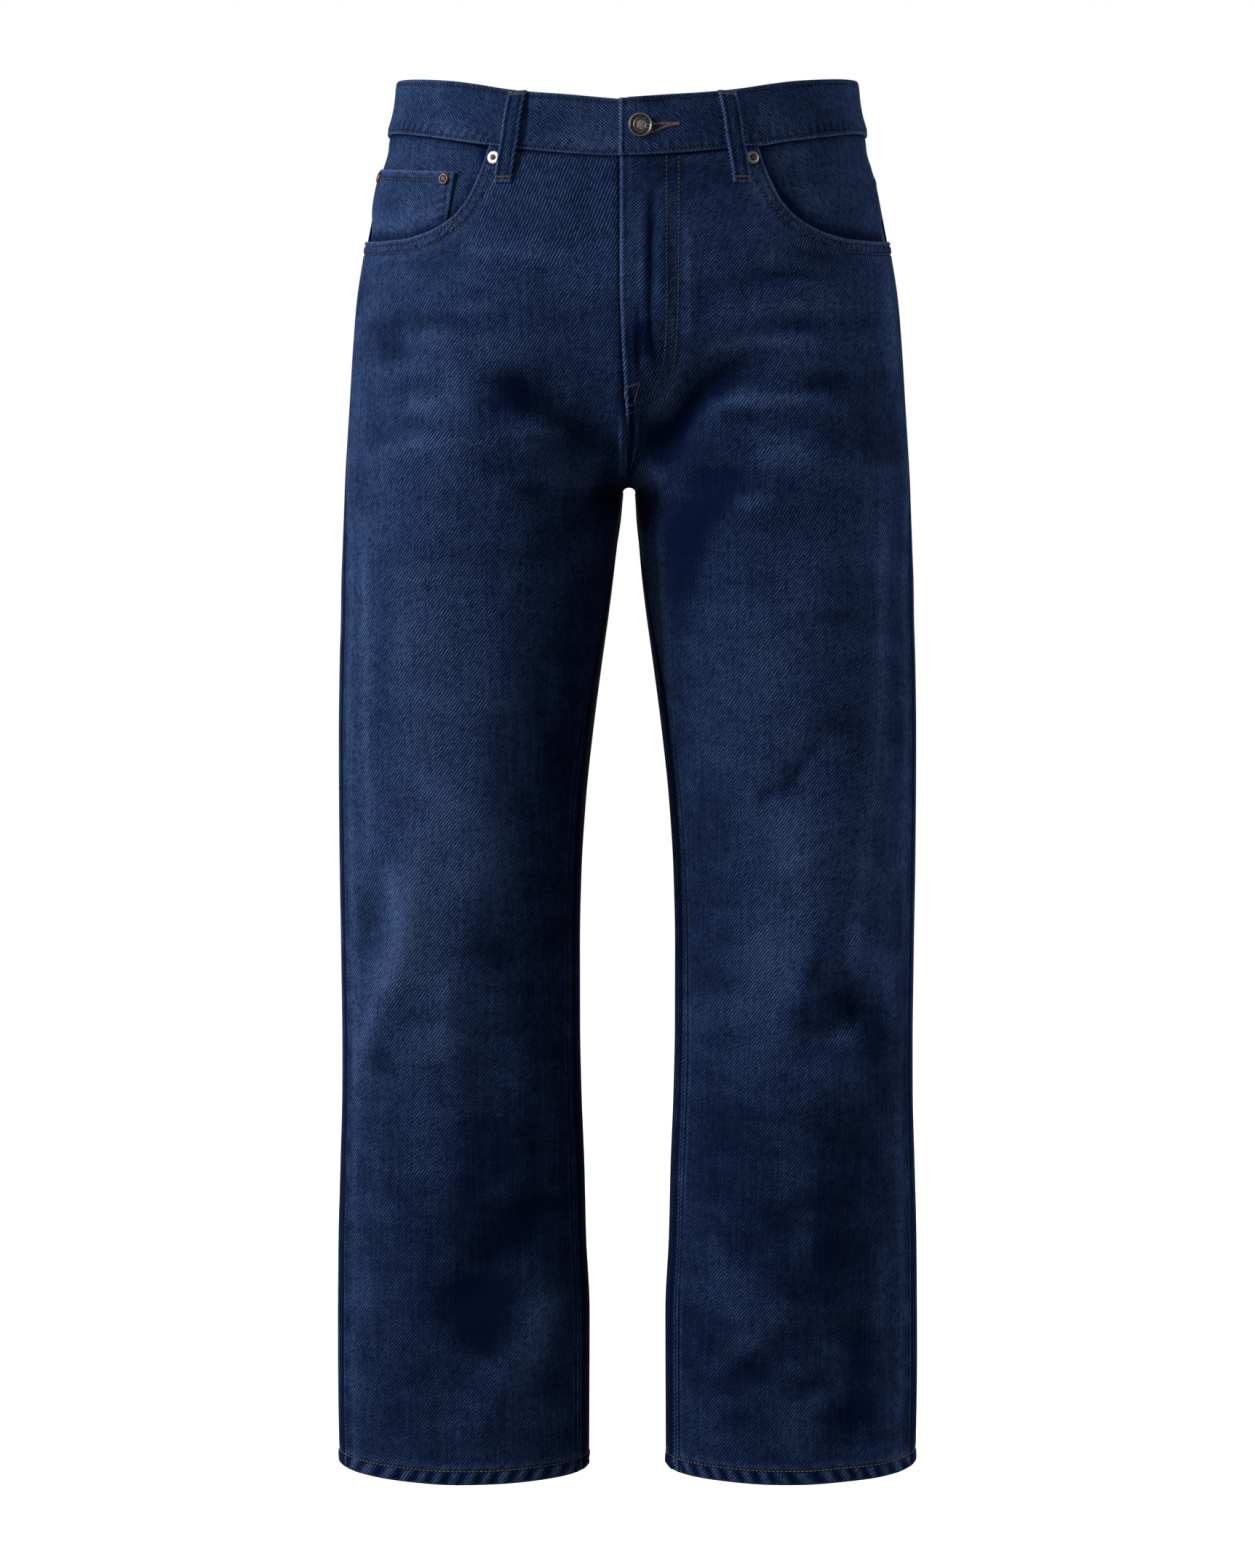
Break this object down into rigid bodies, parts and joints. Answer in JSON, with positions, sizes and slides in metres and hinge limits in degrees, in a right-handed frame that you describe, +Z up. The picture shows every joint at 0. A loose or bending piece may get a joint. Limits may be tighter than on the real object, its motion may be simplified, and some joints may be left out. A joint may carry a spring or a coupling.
{
  "type": "straight-leg five-pocket jeans, worn form",
  "caption": "Five-pocket denim jeans in their worn, hollow form, with a long straight leg, a waistband with loops, a button and rivets.",
  "frame": {"origin": "middle of the waist, level with the middle of the waistband at the sides, where the wearer's waist holds the garment", "axes": "+Z up along the body, +X to the wearer's left, -Y to the front"},
  "size_m": [0.4404, 0.2665, 1.044],
  "materials": {
    "denim": "indigo twill, washed and faded",
    "pocket_denim": "indigo twill, less washed",
    "dark_metal": "antique dark",
    "bright_metal": "worn bright",
    "copper": "antique copper"
  },
  "bodies": {
    "root": {"front_left": "denim", "front_right": "denim", "back_left": "denim", "back_right": "denim", "yoke_left": "denim", "yoke_right": "denim", "waistband": "denim", "pocket_facing_left": "pocket_denim", "pocket_facing_right": "pocket_denim", "coin_pocket": "pocket_denim", "back_pocket_left": "denim", "back_pocket_right": "denim", "belt_loop_front_left": "denim", "belt_loop_front_right": "denim", "belt_loop_back_left": "denim", "belt_loop_back_right": "denim", "belt_loop_centre_back": "denim", "button": "dark_metal", "pocket_rivet_left": "dark_metal", "pocket_rivet_right": "bright_metal", "coin_rivet_inner": "copper", "coin_rivet_outer": "copper"}
  },
  "joints": []
}
